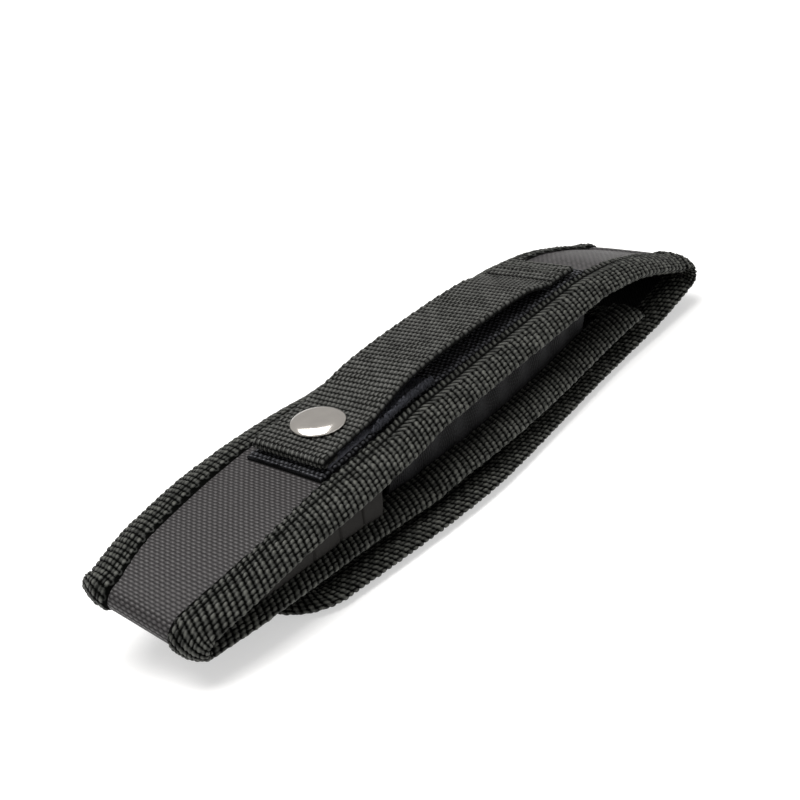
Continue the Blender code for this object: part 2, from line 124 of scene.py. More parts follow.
def unit(vectors):
    return vectors / (np.linalg.norm(vectors, axis=-1, keepdims=True) + 1e-12)


class Path:
    """The middle line of a panel, with its outward normals and the panel's two edges beside it."""

    def __init__(self, run, height, low, high, crown, side):
        run, height = np.asarray(run, float), np.asarray(height, float)
        one = np.ones_like(run)
        along, up = np.gradient(run), np.gradient(height)
        size = np.hypot(along, up)
        self.s = np.concatenate([[0], np.cumsum(np.hypot(np.diff(run), np.diff(height)))])
        self.length = self.s[-1]
        self.rows = np.stack([run, height, -up / size * side, along / size * side, low * one, high * one,
                              crown * one])

    def at(self, s):
        return [np.interp(s, self.s, row) for row in self.rows]

    def edge(self, s, side):
        return np.interp(s, self.s, self.rows[4 if side < 0 else 5])

    def run_at(self, s):
        return np.interp(s, self.s, self.rows[0])

    def point(self, s, across, out):
        run, height, nx, nz, low, high, crown = self.at(s)
        middle, half = (low + high) / 2, (high - low) / 2
        ratio = np.minimum(1.0, np.abs(across - middle) / half)
        level = out - crown * ratio ** 3
        return np.stack([run + nx * level, across + 0 * level, height + nz * level], -1)

    def s_at_run(self, run, part=slice(None)):
        runs, s = self.rows[0][part], self.s[part]
        order = np.argsort(runs)
        return np.interp(run, runs[order], s[order])


def half_width(run):
    return curve(HALF_WIDTH, run)


def front_edges(run):
    hill = bump(run, 40, 105, 160)
    half = half_width(run) + FRONT_FLARE * hill
    return -half - FRONT_LEAN * hill, half - FRONT_LEAN * hill


def flap_sides(run):
    run = np.maximum(run, FLAP_TIP_RUN + TIP_RADIUS)
    hill = bump(run, 15, 88, 158)
    half = half_width(run) + FLAP_FLARE * hill
    return -half - FLAP_LEAN * hill, half - FLAP_LEAN * hill


def flap_face(run):
    return EDGE + curve(FLAP_RISE, run)


def body_path():
    back = np.arange(FOLD_RUN, WRAP_RUN, -0.5)
    front = np.arange(WRAP_RUN, MOUTH_RUN + 0.01, 0.5)
    top, bottom = curve(BACK_HEIGHT, WRAP_RUN), curve(FRONT_HEIGHT, WRAP_RUN)
    middle, radius = (top + bottom) / 2, (top - bottom) / 2
    turn = np.pi * np.arange(0, 25) / 24
    half = half_width(WRAP_RUN) * np.ones(len(turn))
    low, high = front_edges(front)
    parts = [(back, curve(BACK_HEIGHT, back), -half_width(back), half_width(back),
              BACK_CROWN * np.ones(len(back))),
             (WRAP_RUN - radius * np.sin(turn), middle + radius * np.cos(turn), -half, half,
              BACK_CROWN * (1 - turn / np.pi)),
             (front[1:], curve(FRONT_HEIGHT, front[1:]), low[1:], high[1:], np.zeros(len(front) - 1))]
    return Path(*[np.concatenate(rows) for rows in zip(*parts)], -1)


def fold_path():
    top, bottom = curve(BACK_HEIGHT, FOLD_RUN), flap_face(FOLD_RUN)
    middle, radius = (top + bottom) / 2, (top - bottom) / 2
    turn = np.pi * np.arange(-1, 26) / 24
    bend = np.clip(turn, 0, np.pi)
    half = half_width(FOLD_RUN)
    run = FOLD_RUN + 0.2 + radius * np.sin(bend) - 0.3 * (turn < 0) - 0.3 * (turn > np.pi)
    return Path(run, middle + radius * np.cos(bend), -half, half,
                BACK_CROWN * np.clip(1 - turn / np.pi, 0, 1), 1)


def flap_path():
    run = np.arange(FLAP_TIP_RUN, FOLD_RUN + 0.01, 0.5)
    low, high = flap_sides(run)
    return Path(run, flap_face(run), low, high, 0.0, -1)


def strap_path(start, end):
    run = np.arange(start, end + 0.01, 0.5)
    return Path(run, curve(BACK_HEIGHT, run) + curve(STRAP_RISE, run), -WEBBING_HALF, WEBBING_HALF, 0.0, 1)


BODY, FOLD, FLAP = body_path(), fold_path(), flap_path()
BACK_PART = slice(0, int((FOLD_RUN - WRAP_RUN) * 2))
BACK_LENGTH = BODY.s[BACK_PART.stop]


def straight(points):
    """For pieces that are not twisted with the pouch."""
    return points


# ---- meshes
def hum(s, t, scale, seed):
    """Slow seeded unevenness in -1..1, for cloth that is never quite regular."""
    phases = np.random.default_rng(seed).uniform(0, 2 * np.pi, (6, 3))
    total = 0.0
    for k, (a, b, c) in enumerate(phases):
        total = total + np.sin(s / scale * (0.6 + 0.37 * k) + a + np.cos(b) * t / scale * (1.1 + 0.2 * k)
                               + 1.3 * np.sin(t / scale * 0.5 + c))
    return total / 4


def placed(name, data):
    made = bpy.data.objects.new(name, data)
    bpy.context.scene.collection.objects.link(made)
    return made


def make_piece(name, verts, faces, material, body, uv=None, relief_and_painted_shade=None, angle=40):
    """A mesh piece from millimetre points; faces is a list of equal-sided index arrays."""
    verts = (np.asarray(verts, float) - [MIDDLE_RUN, MIDDLE_ACROSS, 0]) * MM
    mesh = bpy.data.meshes.new(name)
    mesh.vertices.add(len(verts))
    mesh.vertices.foreach_set("co", verts.astype(np.float32).ravel())
    loops = np.concatenate([np.asarray(f).ravel() for f in faces])
    sizes = np.concatenate([np.full(len(f), np.asarray(f).shape[1]) for f in faces])
    starts = np.concatenate([[0], np.cumsum(sizes)[:-1]])
    mesh.loops.add(len(loops))
    mesh.loops.foreach_set("vertex_index", loops.astype(np.int32))
    mesh.polygons.add(len(sizes))
    mesh.polygons.foreach_set("loop_start", starts.astype(np.int32))
    mesh.polygons.foreach_set("loop_total", sizes.astype(np.int32))
    mesh.update(calc_edges=True)
    if uv is not None:
        layer = mesh.uv_layers.new(name="UVMap")
        layer.data.foreach_set("uv", np.asarray(uv, np.float32)[loops].ravel())
    # the attribute holds per-point painted shade, which the yarn colours read
    if relief_and_painted_shade is not None:
        layer = mesh.attributes.new("relief_and_painted_shade", "FLOAT", "POINT")
        layer.data.foreach_set("value", np.asarray(relief_and_painted_shade, np.float32).ravel())
    mesh.shade_smooth()
    if angle:
        mesh.set_sharp_from_angle(angle=math.radians(angle))
    piece = placed(name, mesh)
    mesh.materials.append(material)
    if body:
        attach(piece, body)
    return piece


def ring_faces(n, m, first=0):
    """Quads of n rings of m points, each ring closed, and the two end faces."""
    i, j = np.meshgrid(np.arange(n - 1), np.arange(m), indexing="ij")
    j2 = (j + 1) % m
    quads = first + np.stack([i * m + j, i * m + j2, (i + 1) * m + j2, (i + 1) * m + j], -1).reshape(-1, 4)
    ends = first + np.array([np.arange(m)[::-1], (n - 1) * m + np.arange(m)])
    return quads, ends


def volume_sign(verts, quads):
    """1 where the quads face outwards and -1 where they face inwards."""
    a, b, c, d = (verts[quads[:, k]] for k in range(4))
    return np.sign((np.cross(a, b) * c).sum() + (np.cross(a, c) * d).sum())


def ring_piece(name, rings, material, body, uv=None, relief_and_painted_shade=None, place=straight, angle=40):
    """A closed piece from rings of points, with its faces turned outwards."""
    rings = place(rings)
    n, m = rings.shape[:2]
    verts = rings.reshape(-1, 3)
    quads, ends = ring_faces(n, m)
    if volume_sign(verts, quads) < 0:
        quads, ends = quads[:, ::-1], ends[:, ::-1]
    flat = [None if x is None else np.asarray(x).reshape(n * m, -1) for x in (uv, relief_and_painted_shade)]
    return make_piece(name, verts, [quads, ends], material, body, flat[0], flat[1], angle)


# ---- woven relief and its painted shade
WEFT, WARP = 1.72, 0.98  # pitches of the coarse tape along and across it
SLANT = 0.5  # how far its ribs run along it for each millimetre across
CHEVRON_SLOPE, CHEVRON_FOLD, CHEVRON_END = 0.9, 3.2, 5.0
PICOT = 1.3  # width of the loops on its free edges
LOOP_PITCH = 2 * WEFT


def plain_weave(s, t, weft, warp, over=(0.48, 0.66, 1.0), under=(0.50, 0.58, 0.84)):
    """(height, shade) 0..1 of a plain weave with dark creases; the shade is painted shade, darkest where one
    yarn meets the next.

    over and under are the half length, half width (in pitches) and height of the yarns that lie across and
    along it.
    """
    first = second = np.zeros(np.broadcast(s, t).shape)
    for di in (-1, 0, 1):
        for dj in (-1, 0, 1):
            i, j = np.floor(s / weft) + di, np.floor(t / warp) + dj
            ds, dt = s / weft - i - 0.5, t / warp - j - 0.5
            across = (i + j) % 2 == 0
            long, wide, yarn_top = (np.where(across, a, b) for a, b in zip(over, under))
            height = yarn_top * np.sqrt(np.clip(1 - (ds / long) ** 2 - (dt / wide) ** 2, 0, 1))
            second = np.maximum(second, np.minimum(first, height))
            first = np.maximum(first, height)
    # painted shade: the shade darkens where one yarn meets the next
    crease = np.clip((first - second) / 0.35, 0, 1)
    return first * (0.72 + 0.28 * crease), first * (0.25 + 0.75 * crease)


def chevrons(s, inward):
    """Height of the herringbone strip along the near tape: long bars that meet at a point. The same values
    serve as painted shade, darker between the bars and along the line where they meet.
    """
    turn = (s + CHEVRON_SLOPE * np.abs(inward - CHEVRON_FOLD)) / WEFT
    ridge = np.sqrt(np.clip(1 - ((turn - np.floor(turn) - 0.5) / 0.40) ** 2, 0, 1))
    return ridge * (1 - 0.75 * np.exp(-((inward - CHEVRON_FOLD) / 0.2) ** 2))


def tape_relief(s, t, width, slant, warp, seed, twill):
    """(height, shade) of the coarse tape: picot loops at both free edges and a plain weave between; the shade
    is painted shade, darkest in the creases and grooves.
    """
    s = s + 0.16 * hum(s, t, 3.0, seed)
    inward = np.minimum(t, width - t)
    height, shade = plain_weave(s + slant * (t - width / 2), inward - PICOT + 0.15 * hum(s, t, 4.0, seed + 1),
                                WEFT, warp)
    strip = (twill * (t < width / 2) * np.clip((inward - PICOT) / 0.15, 0, 1)
             * np.clip((CHEVRON_END - inward) / 0.15, 0, 1))
    bars = chevrons(s, inward)
    height, shade = (field * (1 - strip) + 0.85 * bars * strip for field in (height, shade))
    centre = (np.floor(s / LOOP_PITCH) + 0.5) * LOOP_PITCH
    size = LOOP_PITCH * (0.17 + 0.04 * hum(s, t, 5.0, seed + 5))
    reach = np.abs(np.hypot(s - centre, (inward - PICOT - 0.1) * 0.95) - size)
    loops = 0.55 * np.sqrt(np.clip(1 - (reach / 0.32) ** 2, 0, 1))
    share = np.clip((inward - PICOT) / 0.3 + 0.5, 0, 1)
    # painted shade, and a dip, along a groove 3.3 mm in from each free edge
    groove = 1 - 0.5 * np.exp(-((inward - 3.3) / 0.4) ** 2)
    uneven = 1 + 0.16 * hum(s, t, 1.7, seed + 2)
    return tuple(np.clip((loops * (1 - share) + field * share * groove) * uneven, 0, 1)
                 for field in (height, shade))


# The folded tape on the near (-1) and far (+1) edges
TAPE_STYLES = {-1: dict(seed=11, slant=-SLANT, warp=WARP, amplitude=0.62, cover=9.3),
               1: dict(seed=31, slant=0.2, warp=1.12, amplitude=0.45, cover=COVER)}
TAPE_EXTRA = 1.9  # how much more of the back the near tape covers above the strap's tip
# (run, share) of the herringbone strip and of the extra cover along the near tape
TWILL_RUNS = ((0, 0), (66, 0), (76, 1), (158, 1), (166, 0), (190, 0))
TAPE_SPREAD = ((0, 0), (22, 0), (50, 1), (190, 1))

# Half of the folded tape's section, from a free edge to the middle of its bead:
# (distance outside the edge, height above the outer face)
TAPE_HALF = ((-8.2, 0.30), (-7.2, 0.72), (-5.6, 0.98), (-4.0, 0.92), (-2.6, 0.60), (-1.2, 0.05), (0.1, -0.45),
             (0.95, -0.95), (1.2, -STACK / 2))


def tape_section(cover):
    """Finely spaced points round the folded tape and their distances along it."""
    half = np.array(TAPE_HALF)
    flat_part = np.maximum(0, -half[:, 0] - TAPE_FLAT)
    half[:, 0] = half[:, 0] - (cover - COVER) * flat_part / (COVER - TAPE_FLAT)
    whole = np.concatenate([half, (half * [1, -1] + [0, -STACK])[-2::-1]])
    for _ in range(3):
        whole = np.concatenate([whole[:1], (whole[:-1] + whole[1:]) / 2, whole[-1:]])
        whole = np.concatenate([whole[:1], (whole[:-1] + whole[1:]) / 2, whole[-1:]])
    chords = distances(whole)
    t = np.linspace(0, chords[-1], int(chords[-1] / 0.25))
    return t, np.interp(t, chords, whole[:, 0]), np.interp(t, chords, whole[:, 1])


def tape_piece(name, s0, s1, surface, body, seed, slant=-SLANT, sense=1, amplitude=0.62, step=0.25,
               place=straight, cover=COVER, wider=None, warp=WARP, twill=None):
    """Folded tape along surface(s, out, level) from s0 to s1.

    wider(s) adds to its cover on the outer face, and twill(s) is the share of its herringbone strip.
    """
    n = max(3, int(round(abs(s1 - s0) / step)) + 1)
    s = np.linspace(s0, s1, n)[:, None]
    t, out, level = (values[None, :] for values in tape_section(cover))
    width = t[0, -1]
    if wider is not None:
        outer_part = np.where(level > -STACK / 2, np.clip((-out - TAPE_FLAT) / (cover - TAPE_FLAT), 0, 1), 0)
        out = out - wider(s) * outer_part
    base = place(surface(s + 0 * t, out + 0 * s, level + 0 * s))
    normal = unit(np.cross(np.gradient(base, axis=0), np.gradient(base, axis=1)))
    middle = base.shape[1] // 2
    inside = place(surface(s[:1], np.array([[-1.0]]), np.array([[-STACK / 2]])))[0, 0]
    if ((base[0, middle] - inside) * normal[0, middle]).sum() < 0:
        normal = -normal
    height, shade = tape_relief(sense * s, t + 0 * s, width, slant, warp, seed,
                                0.0 if twill is None else twill(s))
    inward = np.minimum(t, width - t)
    sink = 0.3 * np.clip(1 - inward / PICOT, 0, 1)
    shown = base + normal * (amplitude * (height - 0.55) - sink * (1 - height))[..., None]
    back_t = np.linspace(1, 0, 9)[None, :]
    inner_out = np.interp(back_t, [0, 0.38, 0.44, 0.56, 0.62, 1],
                          [-cover + 0.5, -2.4, -0.6, -0.6, -2.4, -cover + 0.5])
    inner_level = np.interp(back_t, [0, 0.40, 0.47, 0.53, 0.60, 1],
                            [0.04, 0.04, -0.9, -STACK + 0.9, -STACK - 0.04, -STACK - 0.04])
    under = place(surface(s + 0 * back_t, inner_out + 0 * s, inner_level + 0 * s))
    rings = np.concatenate([shown, under], 1)
    # painted shade for the yarn colours; the tape's hidden back gets 0, the darkest painted shade
    relief_and_painted_shade = np.concatenate([shade, 0 * (s + back_t)], 1)
    uv = np.stack(np.broadcast_arrays(s, np.concatenate([t, t[:, -1:] + 1 - back_t], 1)), -1)
    return ring_piece(name, rings, TAPE, body, uv, relief_and_painted_shade, angle=0)


def slab(name, path, runs_s, low, high, outer, thickness, material, body, place=straight, step=1.0,
         across_step=1.0, shape=None, relief_and_painted_shade=None):
    """A layer of cloth, webbing or foam: its outer face is `outer` above the path."""
    n = max(3, int(round(abs(runs_s[1] - runs_s[0]) / step)) + 1)
    s = np.linspace(*runs_s, n)[:, None]
    low, high = (f(s) if callable(f) else f + 0 * s for f in (low, high))
    m = max(4, int(round(float(np.max(high - low)) / across_step)) + 1)
    w = np.linspace(0, 1, m)[None, :]
    across = low + (high - low) * w
    round_off = 1 - np.clip(np.minimum(w, 1 - w) * (m - 1) / max(1.0, 0.5 / across_step), 0, 1)
    level = outer - 0.3 * thickness * round_off ** 2
    shade = 0 * across
    if relief_and_painted_shade is not None:
        height, shade = relief_and_painted_shade(s + 0 * w, across)
        level = level + relief_and_painted_shade.amplitude * (height - 0.6)
    if shape is not None:
        level = level + shape(s, across)
    back = np.linspace(1, 0, 5)[None, :]
    back_across = low + (high - low) * back
    lower = outer - thickness + 0 * back_across + (0 if shape is None else shape(s, back_across))
    top = path.point(s + 0 * w, across, level)
    bottom = path.point(s + 0 * back, back_across, lower)
    rings = np.concatenate([top, bottom], 1)
    uv = np.stack(np.broadcast_arrays(s, np.concatenate([across, back_across], 1)), -1)
    # painted shade of the weave for the yarn colours; the underside gets 0, the darkest painted shade
    fields = np.concatenate([shade, 0 * back_across], 1)
    return ring_piece(name, rings, material, body, uv, fields, place)


# ---- materials
class Tree:
    """Short calls for building one material's nodes."""

    def __init__(self, name):
        self.material = bpy.data.materials.new(name)
        self.material.use_nodes = True
        self.tree = self.material.node_tree
        self.shader = self.tree.nodes["Principled BSDF"]

    def node(self, kind, **settings):
        made = self.tree.nodes.new(kind)
        for key, value in settings.items():
            setattr(made, key, value)
        return made

    def put(self, socket, value):
        if isinstance(value, bpy.types.NodeSocket):
            self.tree.links.new(value, socket)
        else:
            socket.default_value = value

    def math(self, operation, a, b=0.0, clamp=False):
        made = self.node("ShaderNodeMath", operation=operation, use_clamp=clamp)
        for socket, value in zip(made.inputs, (a, b)):
            self.put(socket, value)
        return made.outputs[0]

    def add(self, a, b):
        return self.math("ADD", a, b)

    def times(self, a, b, clamp=False):
        return self.math("MULTIPLY", a, b, clamp)

    def swing(self, value, amount):
        """Half of amount to either side of zero, from a value in 0..1."""
        return self.times(self.math("SUBTRACT", value, 0.5), amount)

    def uv(self):
        split = self.node("ShaderNodeSeparateXYZ")
        self.put(split.inputs[0], self.node("ShaderNodeUVMap", uv_map="UVMap").outputs[0])
        return split.outputs[0], split.outputs[1]

    def noise(self, scale, detail=3.0, rough=0.6, distortion=0.0):
        made = self.node("ShaderNodeTexNoise")
        self.put(made.inputs["Vector"], self.node("ShaderNodeTexCoord").outputs["Object"])
        self.put(made.inputs["Scale"], scale)
        self.put(made.inputs["Detail"], detail)
        self.put(made.inputs["Roughness"], rough)
        self.put(made.inputs["Distortion"], distortion)
        return made.outputs[0]

    def ramp(self, value, *stops):
        made = self.node("ShaderNodeValToRGB")
        self.put(made.inputs[0], value)
        ramp = made.color_ramp
        ramp.elements[0].position, ramp.elements[0].color = stops[0][0], (*stops[0][1], 1)
        ramp.elements[1].position, ramp.elements[1].color = stops[-1][0], (*stops[-1][1], 1)
        for position, colour in stops[1:-1]:
            ramp.elements.new(position).color = (*colour, 1)
        return made.outputs[0]

    def mix(self, factor, a, b):
        made = self.node("ShaderNodeMix", data_type="RGBA")
        self.put(made.inputs["Factor"], factor)
        self.put(made.inputs["A"], a)
        self.put(made.inputs["B"], b)
        return made.outputs["Result"]

    # reads the per-point painted shade attribute
    def relief_and_painted_shade(self):
        return self.node("ShaderNodeAttribute", attribute_name="relief_and_painted_shade").outputs["Fac"]

    def bumped(self, height, strength, distance):
        made = self.node("ShaderNodeBump")
        self.put(made.inputs["Height"], height)
        self.put(made.inputs["Strength"], strength)
        self.put(made.inputs["Distance"], distance)
        return made.outputs[0]

    def finish(self, colour, rough, normal=None, **others):
        self.put(self.shader.inputs["Base Color"], colour)
        self.put(self.shader.inputs["Roughness"], rough)
        if normal is not None:
            self.put(self.shader.inputs["Normal"], normal)
        for key, value in others.items():
            self.put(self.shader.inputs[key.replace("_", " ")], value)
        return self.material


def yarn(name, gap, body, painted_crest_light, rough=0.5):
    """Twisted nylon yarn with fine fibres: painted shade darkens it between the yarns and painted light
    brightens their crests.
    """
    tree = Tree(name)
    grain = tree.noise(1500.0, 2.0, 0.6)
    patch = tree.noise(60.0, 2.0, 0.5)
    level = tree.add(tree.add(tree.relief_and_painted_shade(), tree.swing(grain, 0.5)), tree.swing(patch, 0.18))
    # colour from the painted shade: gap colour in the gaps, crest colour on the tops
    colour = tree.ramp(level, (0.25, gap), (0.62, body), (1.0, painted_crest_light))
    # the specular level drops with the painted shade, so the gaps reflect less as well
    shine = tree.times(tree.math("SUBTRACT", level, 0.3), 0.6, clamp=True)
    u, v = tree.uv()
    strand = tree.math("SINE", tree.times(tree.add(u, tree.times(v, 0.8)), 24.0))
    height = tree.add(tree.times(grain, 0.5), tree.times(strand, 0.12))
    return tree.finish(colour, rough, tree.bumped(height, 0.55, 0.00025), Sheen_Weight=0.05,
                       Sheen_Roughness=0.4, Specular_IOR_Level=shine)


def coated_cloth(name, low, high, pitch_u=1.82, pitch_v=1.48, strength=0.8, rough=0.42):
    """Coated oxford cloth: a close checker of small raised yarn crossings, with painted light on the
    crossings and painted shade between them.
    """
    tree = Tree(name)
    u, v = tree.uv()
    wander = tree.swing(tree.noise(90.0, 2.0), 0.9)
    turn_u = tree.add(tree.times(u, 2 * math.pi / pitch_u), wander)
    turn_v = tree.add(tree.times(v, 2 * math.pi / pitch_v), wander)
    weave = tree.times(tree.math("COSINE", turn_u), tree.math("COSINE", turn_v))
    rows = tree.times(tree.math("COSINE", tree.times(turn_u, 2.0)), 0.27)
    level = tree.add(tree.add(tree.times(weave, 0.33), rows), 0.46)
    grain = tree.noise(2600.0, 2.0, 0.7)
    shade = tree.add(level, tree.swing(grain, 0.5))
    height = tree.add(level, tree.times(grain, 0.25))
    # colour and specular level follow the weave: painted light on the crossings, painted shade between them
    return tree.finish(tree.ramp(shade, (0.05, low), (0.95, high)), rough,
                       tree.bumped(height, strength, 0.00022),
                       Specular_IOR_Level=tree.times(shade, 0.35, clamp=True))


def plain_cloth(name, colour, rough, scale, strength, spread):
    """Cloth, foam or pile with a fine grain and faint lighter and darker patches."""
    tree = Tree(name)
    grain = tree.noise(scale, 4.0, 0.65)
    patch = tree.noise(scale / 30, 3.0, 0.6)
    low, high = (tuple(c * (1 + way * spread) for c in colour) for way in (-1, 1))
    tone = tree.add(tree.times(grain, 0.6), tree.times(patch, 0.4))
    return tree.finish(tree.ramp(tone, (0.3, low), (0.7, high)), rough, tree.bumped(grain, strength, 0.0002),
                       Specular_IOR_Level=0.25)


def ribbed_cloth(name, low, high, pitch, block):
    """Elastic: fine ribs across the band, darker in their grooves as painted shade, and faint lighter and
    darker blocks along it.
    """
    tree = Tree(name)
    u, v = tree.uv()
    wave, blocks = (tree.math("SINE", tree.times(u, 2 * math.pi / size)) for size in (pitch, block))
    grain = tree.noise(2200.0, 3.0, 0.7)
    level = tree.add(tree.times(wave, 0.2), tree.times(blocks, 0.16))
    level = tree.add(tree.add(level, tree.times(grain, 0.6)), 0.2)
    height = tree.add(tree.times(wave, 0.5), tree.times(grain, 0.4))
    return tree.finish(tree.ramp(level, (0.15, low), (0.85, high)), 0.6, tree.bumped(height, 0.7, 0.0002),
                       Specular_IOR_Level=0.2)


def polished_metal(name, colour, rough):
    """Plated metal with faint smears and handling marks."""
    tree = Tree(name)
    smear = tree.noise(300.0, 4.0, 0.6, 0.4)
    marks = tree.noise(2500.0, 2.0, 0.5)
    tint = tree.mix(smear, (*(c * 0.94 for c in colour), 1), (*(min(1, c * 1.05) for c in colour), 1))
    return tree.finish(tint, tree.add(rough, tree.swing(smear, 0.12)), tree.bumped(marks, 0.02, 0.0001),
                       Metallic=1.0)


ELASTIC_RIB, ELASTIC_BLOCK = 0.62, 9.0
# Yarn colours (gap, body, crest): the gap colour is painted shade between the yarns, body the yarn's own
# colour, crest painted light on their tops
TAPE = yarn("coarse_tape", (0.0015, 0.0016, 0.0014), (0.014, 0.015, 0.013), (0.070, 0.072, 0.062))
WEBBING = yarn("strap_webbing", (0.004, 0.004, 0.0038), (0.036, 0.037, 0.034), (0.095, 0.096, 0.089))
BASE = yarn("base_webbing_yarn", (0.002, 0.002, 0.0024), (0.020, 0.0205, 0.024), (0.085, 0.088, 0.100))
# Cloth colours (low, high): painted shade between the yarn crossings and painted light on them
NYLON = coated_cloth("coated_nylon", (0.015, 0.0142, 0.0148), (0.062, 0.058, 0.0595))
LINING = coated_cloth("lining_cloth", (0.004, 0.004, 0.0045), (0.014, 0.014, 0.015), 0.9, 0.8, 0.4, 0.6)
# the elastic is darker in its rib grooves: painted shade
ELASTIC = ribbed_cloth("side_elastic", (0.005, 0.005, 0.0055), (0.028, 0.028, 0.030), ELASTIC_RIB,
                       ELASTIC_BLOCK)
RIBBON = plain_cloth("gusset_ribbon", (0.016, 0.0147, 0.0132), 0.7, 1300.0, 0.15, 0.12)
PILE = plain_cloth("loop_pile", (0.075, 0.078, 0.094), 0.85, 1600.0, 0.8, 0.5)
HOOKS = plain_cloth("hook_tape", (0.005, 0.005, 0.0055), 0.3, 900.0, 0.3, 0.2)
FOAM = plain_cloth("foam", (0.012, 0.012, 0.0125), 0.9, 900.0, 0.5, 0.2)
# sewing thread: painted shade in its gaps and painted light on its crests, as for the yarns
THREAD = yarn("sewing_thread", (0.004, 0.004, 0.004), (0.016, 0.017, 0.016), (0.055, 0.057, 0.050), 0.45)
CAP_METAL = polished_metal("cap_nickel", (0.78, 0.745, 0.70), 0.17)
SNAP_METAL = polished_metal("snap_brass", (0.55, 0.50, 0.43), 0.25)


# ---- pouch
INSET = 2.4  # the layers stop this far inside the folded tape
PUFF_HEIGHT, PUFF_SIZE = 0.18, 14.0  # slow waves of the pouch's cloth
# (level of its outer face above the panel's or strap's, thickness)
CLOTH_LAYER, FOAM_LAYER, LINING_LAYER = (0.0, 0.45), (-0.55, 1.6), (-2.25, 0.4)
BASE_LAYER, BACK_PAD_LAYER, FRONT_PAD_LAYER = (1.25, 1.15), (1.95, 0.65), (1.0, 0.85)
ANCHOR_LAYER, STRAP_LAYER, STRAP_HOOK_LAYER = (0.0, 1.3), (0.0, 1.25), (-1.45, 0.6)
FOLD_LAYER, FLAP_HOOK_LAYER = (0.0, STACK - 0.2), (-STACK - 0.05, 0.7)


def back_s(run):
    return BODY.s_at_run(run, BACK_PART)


def front_s(run):
    return BODY.s_at_run(run, slice(len(BODY.s) - int((MOUTH_RUN - WRAP_RUN) * 2), None))


def edge_surface(path, side):
    """Points beside one edge of a panel, for the tape that is folded over it."""
    def surface(s, out, level):
        return path.point(s, path.edge(s, side) + side * out, level)
    return surface


def make_pouch():
    whole = (0.0, BODY.length)

    def puff(s, across):
        return PUFF_HEIGHT * hum(s, across, PUFF_SIZE, 3)

    def layer(name, depths, material, step):
        return slab(name, BODY, whole, lambda s: BODY.edge(s, -1) + INSET, lambda s: BODY.edge(s, 1) - INSET,
                    *depths, material, "pouch", twist, step, step, puff)

    cloth = layer("body_cloth", CLOTH_LAYER, NYLON, 0.8)
    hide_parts("outer_shell")
    foam = layer("body_foam", FOAM_LAYER, FOAM, 2.0)
    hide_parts("back_core", "front_core", "bottom_core")
    lining = layer("body_lining", LINING_LAYER, LINING, 1.5)
    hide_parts("inner_lining")

    def body_wider(s):
        return TAPE_EXTRA * curve(TAPE_SPREAD, np.where(s < BACK_LENGTH, BODY.run_at(s), 0))

    def body_twill(s):
        return np.where(s < BACK_LENGTH, curve(TWILL_RUNS, BODY.run_at(s)), 0.0)

    for side, word in ((-1, "near"), (1, "far")):
        fields = dict(wider=body_wider, twill=body_twill) if side < 0 else {}
        tape = tape_piece("body_tape_" + word, 0.0, BODY.length, edge_surface(BODY, side), "pouch",
                          place=twist, **TAPE_STYLES[side], **fields)
        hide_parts("body_binding_" + word)
        make_gussets(side, word)


ELASTIC_RUNS = {-1: (67.0, 147.0), 1: (64.0, 147.0)}
RIBBON_RUNS = (18.0, 63.5)
RIBBON_CREASES = (38.0, 47.0, 55.5)
RIBBON_CUT = 5.0  # how far the ribbon's upper end slants back
GUSSET_INSET = 5.2  # the bands' upper edges lie this far inside the back panel's edge
GUSSET_STEP, GUSSET_POINTS = 0.16, 16


def make_gusset(span, side, thickness, name, material, node, lean, folds, cut=0.0):
    """A band that closes one side of the pouch; its lower edge reaches `lean` out from the front tape."""
    runs = np.linspace(*span, int((span[1] - span[0]) / GUSSET_STEP))[:, None]
    w = np.linspace(0, 1, GUSSET_POINTS)[None, :]
    back = side * half_width(runs)
    front = front_edges(runs)[0 if side < 0 else 1]
    top_y, low_y = back - side * GUSSET_INSET, front - side * (COVER - lean)
    top_z = curve(BACK_HEIGHT, runs) - STACK - BACK_CROWN - 0.2
    low_z = curve(FRONT_HEIGHT, runs) + STACK + 0.5
    y = top_y + (low_y - top_y) * w + side * folds(runs, w)
    z = top_z + (low_z - top_z) * w
    slanted = runs - cut * w * np.clip((runs - span[1]) / 12 + 1, 0, 1)
    outer = np.stack(np.broadcast_arrays(slanted, y, z), -1)
    inner = np.stack(np.broadcast_arrays(slanted, y - side * thickness, z), -1)[:, ::-1]
    rings = np.concatenate([outer, inner], 1)
    v = np.concatenate([9 * w, 9 + 0 * w], 1)
    uv = np.stack(np.broadcast_arrays(runs, v), -1)
    piece = ring_piece(name, rings, material, "pouch", uv, None, twist, 60)
    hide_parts(node)


def make_gussets(side, word):
    def elastic_folds(run, w):
        belly = 0.9 * np.sin(np.pi * w)
        ribs = 0.09 * np.sin(2 * np.pi * run / ELASTIC_RIB)
        slack = 0.35 * np.sin(2 * np.pi * run / ELASTIC_BLOCK + 2 * w) * np.sin(np.pi * w)
        return belly + ribs * np.sin(np.pi * np.clip(w * 1.1, 0, 1)) + slack - 1.0

    def ribbon_folds(run, w):
        crease = sum(-0.55 * np.exp(-((run - c + 1.5 * w) / 0.35) ** 2) for c in RIBBON_CREASES)
        return 0.5 * np.sin(np.pi * w) + crease + 0.15 * hum(run, w * 8, 5.0, 5) - 0.6

    make_gusset(ELASTIC_RUNS[side], side, 0.9, "elastic_side_" + word, ELASTIC, "elastic_gusset_" + word,
                1.0, elastic_folds)
    make_gusset(RIBBON_RUNS, side, 0.5, "ribbon_side_" + word, RIBBON, "ribbon_gusset_" + word, 5.6,
                ribbon_folds, RIBBON_CUT)


